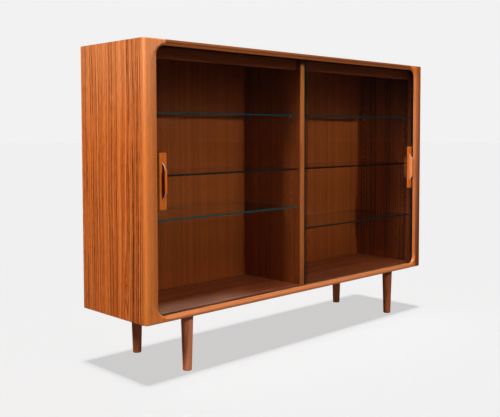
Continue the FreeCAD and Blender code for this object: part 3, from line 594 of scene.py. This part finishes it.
def sheet_glass(name, face, edge, painted_edge_glow, thin_axis):
    """Float glass, nearly clear through its faces and deep green at its cut edges, which glow with painted
    light.
    """
    material, wiring, shader, place = new_material(name)
    is_face = wiring.fade(wiring.sum("ABSOLUTE", wiring.facing(thin_axis)), 0.5, 0.8)
    touch = use_group(wiring, "handling", {"Place": place, "Size": BROAD_PATCHES})
    wiring.put(shader.inputs["Base Color"], wiring.mix(is_face, edge, face))
    smeared = wiring.sum("MULTIPLY_ADD", touch["Smear"], GLASS_SMEAR, 0.008)
    ground = wiring.sum("MULTIPLY_ADD", is_face, -0.12, 0.12)
    wiring.put(shader.inputs["Roughness"], wiring.sum("ADD", smeared, ground))
    grip = wiring.add("Bump", None, {"Strength": 0.02, "Distance": 0.0001, "Height": touch["Patch"]})
    wiring.put(shader.inputs["Normal"], grip.outputs["Normal"])
    # The cut edges emit a painted glow.
    wiring.put(shader.inputs["Emission Color"], wiring.mix(is_face, painted_edge_glow, (0.0, 0.0, 0.0)))
    shader.inputs["Emission Strength"].default_value = 1.0
    shader.inputs["Transmission Weight"].default_value = 1.0
    shader.inputs["IOR"].default_value = 1.5
    clear = wiring.add("BsdfTransparent", None, {"Color": wiring.mix(is_face, edge, face)})
    lamp = wiring.add("LightPath").outputs["Is Shadow Ray"]
    both = wiring.add("MixShader", None, {0: lamp, 1: shader.outputs[0], 2: clear.outputs[0]})
    output = material.node_tree.nodes["Material Output"]
    wiring.put(output.inputs["Surface"], both.outputs[0])
    return material


def metal(name, shade, dull, rough):
    """Turned or plated metal with fine tool marks and duller patches."""
    material, wiring, shader, place = new_material(name)
    marks = wiring.noise(wiring.stretch(place, (60.0, 60.0, 60.0)), 14.0, 3.0)
    touch = use_group(wiring, "handling", {"Place": place, "Size": FINE_PATCHES})
    edges = use_group(wiring, "edges", {"Place": place, "Width": 0.0006, "Amount": 1.0})
    tint = wiring.mix(touch["Patch"], shade, dull)
    tint = wiring.mix(wiring.sum("MULTIPLY", edges["Worn"], 0.5), tint, shade)
    wiring.put(shader.inputs["Base Color"], tint)
    wiring.put(shader.inputs["Roughness"], wiring.sum("MULTIPLY_ADD", marks, 0.22, rough))
    bump = wiring.add("Bump", None, {"Strength": 0.4, "Distance": 0.00004, "Height": marks,
                                     "Normal": edges["Normal"]})
    wiring.put(shader.inputs["Normal"], bump.outputs["Normal"])
    shader.inputs["Metallic"].default_value = 1.0
    return material


def moulded_track(name, shade, rubbed):
    """Dark brown extruded plastic, drawn lengthwise and rubbed where the doors run."""
    material, wiring, shader, place = new_material(name)
    drawn = wiring.noise(wiring.stretch(place, (4.0, 700.0, 700.0)), 1.0, 2.0)
    edges = use_group(wiring, "edges", {"Place": place, "Width": 0.0008, "Amount": 1.0})
    touch = use_group(wiring, "handling", {"Place": place, "Size": NARROW_PATCHES})
    tint = wiring.mix(wiring.sum("MULTIPLY", touch["Patch"], 0.4), shade, rubbed)
    tint = wiring.mix(wiring.sum("MULTIPLY", edges["Worn"], 0.7), tint, rubbed)
    wiring.put(shader.inputs["Base Color"], tint)
    wiring.put(shader.inputs["Roughness"], wiring.sum("MULTIPLY_ADD", drawn, 0.2, 0.38))
    bump = wiring.add("Bump", None, {"Strength": 0.4, "Distance": 0.00005, "Height": drawn,
                                     "Normal": edges["Normal"]})
    wiring.put(shader.inputs["Normal"], bump.outputs["Normal"])
    return material


def finish_node(node, material):
    """Gives a CAD node its finish."""
    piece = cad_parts[node]
    piece.data.materials.clear()
    piece.data.materials.append(material)


def finish_boards():
    """The veneered boards. Each has its own cut of the figure, with the grain along its length. Faces
    inside the bays are painted darker as painted shade, the sides paler towards the top as a painted sheen,
    the left bay's floor paler at its front as a painted sheen, and the corner behind the right stile near
    black as painted shade.
    """
    # A painted sheen, paler towards the top of the sides.
    painted_sheen = beyond(UP, *PAINTED_SHEEN_HEIGHTS)
    outside = {
        "side_panel_left": (GRAIN_UPRIGHT, (0.31, 0.07, 0.0), (0.0, -0.005, 0.52), [
            (painted_sheen, VENEER_PAINTED_SHEEN, 0.0), (face_at(RIGHT, -SIDE_FACE), VENEER_PAINTED_SHADE_INSIDE, 0.0)]),
        "side_panel_right": (GRAIN_UPRIGHT, (0.83, 0.61, 0.4), (0.0, 0.66, 0.9), [
            (painted_sheen, VENEER_PAINTED_SHEEN, 0.0), (face_at(LEFT, -SIDE_FACE), VENEER_PAINTED_SHADE_INSIDE, 0.0),
            (painted_shade_behind_stile, DEEP_PAINTED_SHADE, 0.0)]),
        "top_panel": (GRAIN_LEVEL, (0.12, 0.92, 0.7), None, [
            (face_at(DOWN, -CEILING_FACE), VENEER_PAINTED_SHADE_INSIDE, 0.0)]),
        "bottom_panel": (GRAIN_LEVEL, (0.45, 0.23, 1.9), None, [
            (face_at(UP, FLOOR_FACE), VENEER_PAINTED_SHADE_FLOOR, 0.0), (painted_sheen_on_floor, FLOOR_PAINTED_SHEEN, 0.0)]),
    }
    for node, (grain, cut, crown, parts) in outside.items():
        finish_node(node, wood("teak_veneer_" + node, VENEER, grain, cut, RINGS_ACROSS_Y, 1.35, 0.9,
                               shine=0.12, parts=parts, crown=crown))
    lipping_end = -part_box("centre_divider")[0].y - LIPPING_DEPTH
    inside = {
        "centre_divider": ((0.71, 0.37, 2.6), RINGS_ACROSS_Y, 0.5,
                           beyond(FORWARD, lipping_end - 0.0002, lipping_end)),
        "back_panel": ((0.17, 0.55, 3.3), RINGS_ACROSS_X, 0.35, face_at(REARWARD, REAR_FACE)),
    }
    for node, (cut, heart, streaks, part) in inside.items():
        finish_node(node, wood("teak_veneer_" + node, VENEER_PAINTED_SHADE_INSIDE, GRAIN_UPRIGHT, cut, heart, streaks,
                               wander=0.7, shine=0.08, parts=[(part, LIPPING, 0.0)]))
    for side, cut in (("left", (0.05, 0.43, 1.1)), ("right", (0.25, 0.63, 2.1))):
        finish_node("valance_" + side, wood("teak_veneer_valance_" + side, VENEER_PAINTED_SHADE_INSIDE, GRAIN_LEVEL, cut,
                                            streaks=0.3, shine=0.08))


def finish_front_frame():
    """The solid stiles and rails, with near black painted shade on the walls of the opening, painted shade
    on the right stile's outer strip and a painted sheen towards the left stile's top.
    """
    low_rail = beyond(DOWN, -RAIL_LOW_HEIGHTS[1], -RAIL_LOW_HEIGHTS[0])
    pieces = {
        "front_stile_left": (GRAIN_UPRIGHT, (0.21, 0.14, 0.2), beyond(UP, *PAINTED_SHEEN_HEIGHTS), SOLID_PAINTED_SHEEN),
        "front_stile_right": (GRAIN_UPRIGHT, (0.52, 0.34, 1.2), painted_shade_strip, STILE_PAINTED_SHADE),
        "front_rail_top": (GRAIN_LEVEL, (0.41, 0.74, 2.2), beyond(UP, *RAIL_TOP_HEIGHTS), RAIL_TOP),
        "front_rail_bottom": (GRAIN_LEVEL, (0.92, 0.84, 3.2), low_rail, RAIL_LOW),
    }
    for node, (grain, cut, part, shades) in pieces.items():
        finish = wood("solid_teak_" + node, SOLID, grain, cut, streaks=0.25, rough=0.26, edge=0.003,
                      parts=[(painted_shade_in_opening, DEEP_PAINTED_SHADE, 0.7), (part, shades, 0.0)])
        finish_node(node, finish)


def finish_pulls():
    """The door pulls, with painted shade in their scoops, painted glints on the ends of their ribs, painted
    light on the right rib's flank, and pale where hands rub them, which also stands for a painted
    highlight.
    """
    pulls = {
        "left": ((0.33, 0.77, 0.9), [(painted_shade_in_scoop("left"), PULL_PAINTED_SHADE, 0.3),
                                     (painted_glint_beside_scoop("left"), PULL_PAINTED_GLINT, 0.0)]),
        "right": ((0.63, 0.27, 1.6), [(painted_shade_in_scoop("right"), PULL_PAINTED_SHADE, 0.3),
                                      (painted_light_on_flank, PULL_PAINTED_LIGHT, 0.0),
                                      (painted_glint_along_flank, PULL_PAINTED_GLINT, 0.0)]),
    }
    for side, (cut, parts) in pulls.items():
        finish = wood("pull_teak_" + side, PULL, GRAIN_UPRIGHT, cut, streaks=0.3, rough=0.22, wear=0.9,
                      edge=0.0012, parts=parts, rubbed=RUBBED_AND_PAINTED_GLINT)
        finish_node("door_pull_" + side, finish)


def finish_joinery():
    """Dowels and tongues of the case, and its metal and plastic parts."""
    beech = wood("dowel_beech", BEECH, GRAIN_DEEP, (0.1, 0.2, 0.3), streaks=0.1, wear=0.1, rough=0.55)
    for node in ("divider_dowels", "valance_dowels", "stile_dowels", "rail_dowels"):
        finish_node(node, beech)
    plywood = wood("spline_plywood", PLYWOOD, GRAIN_DEEP, (0.4, 0.1, 0.2), streaks=0.5, wear=0.1, rough=0.6)
    for level in ("top", "bottom"):
        for side in ("left", "right"):
            finish_node(f"mitre_spline_{level}_{side}", plywood)
    steel = metal("zinc_steel", STEEL, STEEL_DULL, 0.28)
    turn_screws(steel)
    for node in ("leg_bolts", "leg_inserts"):
        finish_node(node, steel)
    track = moulded_track("track_plastic", TRACK, TRACK_RUBBED)
    for node in ("upper_door_track", "lower_door_track"):
        finish_node(node, track)
    turn_pins(metal("pin_brass", BRASS, BRASS_DULL, 0.40))


def finish_glass():
    """The doors and the shelves, each shelf with its own painted glow at its edges."""
    door = sheet_glass("door_glass", DOOR_FACE, DOOR_EDGE, DOOR_EDGE_PAINTED_GLOW, REARWARD)
    for side, shares in EDGE_PAINTED_GLOW_SHARES.items():
        finish_node("glass_door_" + side, door)
        for level, share in enumerate(shares, start=1):
            node = f"glass_shelf_{side}_{level}"
            glow = tuple(share * part for part in EDGE_PAINTED_GLOW)
            finish_node(node, sheet_glass(node, SHELF_FACE, SHELF_EDGE, glow, UP))


def cross(angle, reach, half):
    """How far from its middle the outline of a cross lies at an angle."""
    arms = [half / max(abs(side), 1e-6) for side in (math.sin(angle), math.cos(angle))]
    return max(min(reach, arm) for arm in arms)


def turned(name, profile, places, axis, body, nodes, slot, material, segments=64):
    """Round pieces turned to one profile of (distance along the axis, radius), one at each place.

    A third number in a row of the profile makes that ring a cross with arms of twice that width.
    """
    shape = bmesh.new()
    to_axis = Vector((0.0, 0.0, 1.0)).rotation_difference(Vector(axis)).to_matrix().to_4x4()
    for place in places:
        rings = []
        for along, radius, *half in profile:
            ring = []
            for step in range(segments):
                angle = 2.0 * math.pi * step / segments
                away = cross(angle, radius, half[0]) if half else radius
                spot = to_axis @ Vector((away * math.cos(angle), away * math.sin(angle), along))
                ring.append(shape.verts.new(spot + Vector(place)))
            rings.append(ring)
        for lower, upper in zip(rings, rings[1:]):
            for step in range(segments):
                after = (step + 1) % segments
                shape.faces.new((lower[step], lower[after], upper[after], upper[step]))
        shape.faces.new(list(reversed(rings[0])))
        shape.faces.new(rings[-1])
    bmesh.ops.recalc_face_normals(shape, faces=shape.faces)
    for face in shape.faces:
        face.smooth = True
    mesh = bpy.data.meshes.new(name)
    shape.to_mesh(mesh)
    shape.free()
    mesh.set_sharp_from_angle(angle=math.radians(40.0))
    mesh.materials.append(material)
    piece = bpy.data.objects.new(name, mesh)
    bpy.context.scene.collection.objects.link(piece)
    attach(piece, body)
    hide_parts(*nodes)


def rounded_bar(length, radius, easing):
    """The profile of a bar with both ends rounded over."""
    turns = [math.radians(15.0 * step) for step in range(7)]
    start = [(easing * (1.0 - math.sin(turn)), radius - easing * (1.0 - math.cos(turn)))
             for turn in reversed(turns)]
    end = [(length - along, away) for along, away in reversed(start)]
    return start + end


def turn_pins(brass):
    """Round shelf pins, two in each side of a bay, and the stud under the rear of one shelf."""
    for side in ("left", "right"):
        for level in (1, 2, 3):
            node = f"shelf_pins_{side}_{level}"
            low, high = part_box(node)
            radius = (high.z - low.z) / 2
            places = [(x, y, low.z + radius) for x in (low.x, high.x - PIN_LENGTH)
                      for y in (low.y + radius, high.y - radius)]
            turned("turned_" + node, rounded_bar(PIN_LENGTH, radius, PIN_EASING), places, RIGHT,
                   "case", [node], "pin_brass", brass, segments=32)
    low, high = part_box("rear_shelf_stud")
    radius = (high.z - low.z) / 2
    turned("turned_rear_shelf_stud", rounded_bar(high.y - low.y, radius, PIN_EASING),
           [(low.x + radius, low.y, low.z + radius)], REARWARD, "case", ["rear_shelf_stud"],
           "pin_brass", brass, segments=32)


def turn_screws(steel):
    """Domed screws with a cross recess, in lines round the back panel and down its middle."""
    low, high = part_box("back_panel_screws")
    corner = SCREW_HEAD / 2
    flat = corner * math.cos(math.radians(30.0))
    left, right, bottom, top = low.x + corner, high.x - corner, low.z + flat, high.z - flat
    across = [(2.0 * share - 1.0) * SIDE_FACE for share in SCREW_SHARES_ACROSS]
    heights = [CASE_LOW.z + share * (CASE_HIGH.z - CASE_LOW.z) for share in SCREW_SHARES_UP]
    places = [(x, low.y, z) for x in across for z in (bottom, top)]
    places += [(x, low.y, z) for x in (left, (left + right) / 2, right) for z in heights]
    length = high.y - low.y
    seat = length - SCREW_HEAD_HEIGHT
    profile = [(0.0, SCREW_TIP_RADIUS), (SCREW_POINT, SCREW_SHANK_RADIUS), (seat, SCREW_SHANK_RADIUS)]
    profile += [(seat + rise, radius) for rise, radius in SCREW_DOME]
    profile += [(length - depth, radius, half) for depth, radius, half in SCREW_CROSS]
    turned("turned_back_panel_screws", profile, places, REARWARD, "case", ["back_panel_screws"],
           "zinc_steel", steel)


def leg_profile(length, top):
    """A rounded foot and a straight taper up to the top's radius."""
    profile = []
    for step in range(7):
        turn = math.radians(90.0 * step / 6)
        profile.append((LEG_FOOT_ROUND * (1.0 - math.cos(turn)),
                        LEG_FOOT_RADIUS - LEG_FOOT_ROUND + LEG_FOOT_ROUND * math.sin(turn)))
    for step in range(1, 13):
        share = step / 12
        profile.append((LEG_FOOT_ROUND + (length - LEG_FOOT_ROUND) * share,
                        LEG_FOOT_RADIUS + (top - LEG_FOOT_RADIUS) * share))
    return profile


def turn_legs():
    """Tapered legs with a rounded foot, each cut from its own piece of wood, the front left one painted
    lighter and the front right one darker as painted light and shade.
    """
    nodes = [f"leg_{depth}_{side}" for depth in ("front", "rear") for side in ("left", "right")]
    painted_leg_shades = {"leg_front_left": LEG_PAINTED_LIGHT, "leg_front_right": LEG_PAINTED_SHADE}
    for number, node in enumerate(nodes, start=1):
        low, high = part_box(node)
        centre = (low + high) / 2
        cut = tuple(number * step for step in LEG_CUT_STEP)
        finish = wood("leg_teak_" + node, painted_leg_shades.get(node, LEG), GRAIN_UPRIGHT, cut, LEG_HEART,
                      streaks=0.5, rough=0.34, edge=0.0015)
        turned("turned_" + node, leg_profile(high.z - low.z, (high.x - low.x) / 2),
               [(centre.x, centre.y, low.z)], UP, "case", [node], "leg_teak", finish, segments=96)


def place_camera():
    """The camera of the view, with the frame set lower than the lens."""
    data = bpy.data.cameras.new("view_camera")
    data.sensor_width = SENSOR_WIDTH
    data.lens = LENS
    data.shift_y = FRAME_RISE
    camera = bpy.data.objects.new("view_camera", data)
    turn = Matrix.Rotation(math.radians(-CAMERA_TURN), 4, "Z")
    tilt = Matrix.Rotation(math.radians(90.0 + CAMERA_TILT), 4, "X")
    roll = Matrix.Rotation(math.radians(CAMERA_ROLL), 4, "Z")
    camera.matrix_world = Matrix.Translation(CAMERA_PLACE) @ turn @ tilt @ roll
    bpy.context.scene.collection.objects.link(camera)
    bpy.context.scene.camera = camera


def lay_floor():
    """A plain pale floor without a horizon, which throws little light back at the case."""
    shape = bmesh.new()
    bmesh.ops.create_circle(shape, cap_ends=True, segments=96, radius=FLOOR_RADIUS)
    mesh = bpy.data.meshes.new("studio_floor")
    shape.to_mesh(mesh)
    shape.free()
    material = bpy.data.materials.new("studio_floor")
    material.use_nodes = True
    shader = material.node_tree.nodes["Principled BSDF"]
    shader.inputs["Roughness"].default_value = 1.0
    shader.inputs["Specular IOR Level"].default_value = 0.0
    shader.inputs["Emission Color"].default_value = (1.0, 1.0, 1.0, 1.0)
    wiring = Wiring(material.node_tree)
    rays = wiring.add("LightPath").outputs
    pale = wiring.mix(rays["Is Camera Ray"], (FLOOR_DIM,) * 3, (FLOOR_PALE,) * 3)
    glow = wiring.sum("MULTIPLY", rays["Is Camera Ray"], FLOOR_GLOW)
    glow = wiring.sum("MULTIPLY_ADD", rays["Is Diffuse Ray"], FLOOR_BOUNCE, glow)
    wiring.put(shader.inputs["Base Color"], pale)
    wiring.put(shader.inputs["Emission Strength"], glow)
    mesh.materials.append(material)
    floor = bpy.data.objects.new("studio_floor", mesh)
    bpy.context.scene.collection.objects.link(floor)
    return floor


def hang_lamp(lamp, spared=(), only=()):
    """Puts a lamp in the studio. It lights nothing that is spared, or else only the pieces named."""
    bpy.context.scene.collection.objects.link(lamp)
    if not spared and not only:
        return
    lit = bpy.data.collections.new(lamp.name + "_reach")
    lamp.light_linking.receiver_collection = lit
    for piece in (*spared, *only):
        lit.objects.link(piece)
    for entry in lit.collection_objects:
        entry.light_linking.link_state = "EXCLUDE" if spared else "INCLUDE"


def add_overhead(name, strength, **reach):
    """Even light that falls straight down."""
    data = bpy.data.lights.new(name, "SUN")
    data.energy = strength
    data.angle = math.radians(SUN_SPREAD)
    hang_lamp(bpy.data.objects.new(name, data), **reach)


def add_softbox(name, power, place, target, width, height, **reach):
    """A large soft lamp at a place, turned to a target."""
    data = bpy.data.lights.new(name, "AREA")
    data.shape = "RECTANGLE"
    data.size, data.size_y = width, height
    data.energy = power
    lamp = bpy.data.objects.new(name, data)
    lamp.location = place
    lamp.rotation_mode = "QUATERNION"
    lamp.rotation_quaternion = (Vector(target) - Vector(place)).to_track_quat("-Z", "Y")
    hang_lamp(lamp, **reach)
    return lamp


def pieces_of(*nodes):
    return [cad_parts[node] for node in nodes]


def fill_room():
    """A pale backdrop, which gives the case only a little warm light and a faint reflection."""
    world = bpy.data.worlds.new("studio_room")
    world.use_nodes = True
    wiring = Wiring(world.node_tree)
    rays = wiring.add("LightPath").outputs
    strength = wiring.sum("MULTIPLY_ADD", rays["Is Diffuse Ray"], ROOM_LIGHT - ROOM_SHINE, ROOM_SHINE)
    strength = wiring.sum("MULTIPLY_ADD", rays["Is Camera Ray"], BACKDROP - ROOM_SHINE, strength)
    tint = wiring.mix(rays["Is Diffuse Ray"], (1.0, 1.0, 1.0), ROOM_COLOUR)
    wiring.put(world.node_tree.nodes["Background"].inputs["Color"], tint)
    wiring.put(world.node_tree.nodes["Background"].inputs["Strength"], strength)
    world.cycles.sampling_method = "NONE"
    bpy.context.scene.world = world


def light_studio(floor):
    """Even light from above and soft lamps round the case, some of them for a few pieces only."""
    front = pieces_of(*FRONT_FRAME)
    add_overhead("overhead_light", 1.6)
    add_overhead("overhead_fill", 1.2, spared=front)
    add_softbox("key_softbox", 195.0, (0.1, -4.69, 4.12), (0.0, 0.0, 0.65), 0.10, 0.10, spared=[floor])
    add_softbox("left_softbox", 119.0, (-3.2, -0.56, 2.6), (-0.8, -0.1, 0.72), 0.25, 1.2, spared=[floor])
    add_softbox("frame_softbox", 17.0, (-1.6, -1.5, 3.0), (-0.7, -0.18, 0.9), 1.0, 1.0, only=front)
    sheen = add_softbox("sheen_softbox", 8.0, (1.72, -2.49, 0.9), (0.76, -0.18, 0.7), 0.6, 1.8, only=front)
    sheen.visible_diffuse = False
    rear = add_softbox("rear_softbox", 120.0, (1.2, 4.4, 2.6), (0.0, 0.1, 0.7), 1.5, 1.5, spared=[floor])
    rear.visible_glossy = False
    add_softbox("right_softbox", 110.0, (4.2, -0.6, 2.6), (0.8, 0.0, 0.7), 1.0, 1.0,
                only=pieces_of("side_panel_right"))
    add_softbox("valance_softbox", 9.0, (-0.6, -2.4, 0.75), (0.0, -0.11, 1.1), 0.6, 0.6,
                only=pieces_of("valance_left", "valance_right"))
    add_softbox("stile_softbox", 22.0, (-1.2, -3.0, 1.8), (0.77, -0.18, 0.7), 0.6, 0.6,
                only=pieces_of("front_stile_right"))
    glint = add_softbox("glint_softbox", 30.0, (-3.6, -0.05, 1.80), (-0.8, -0.18, 1.1), 0.15, 0.7,
                        only=pieces_of("front_stile_left"))
    glint.visible_diffuse = False


place_camera()
finish_boards()
finish_front_frame()
finish_pulls()
finish_joinery()
finish_glass()
turn_legs()
fill_room()
light_studio(lay_floor())
bpy.context.scene.view_settings.view_transform = "Standard"
bpy.context.scene.cycles.transparent_max_bounces = 24
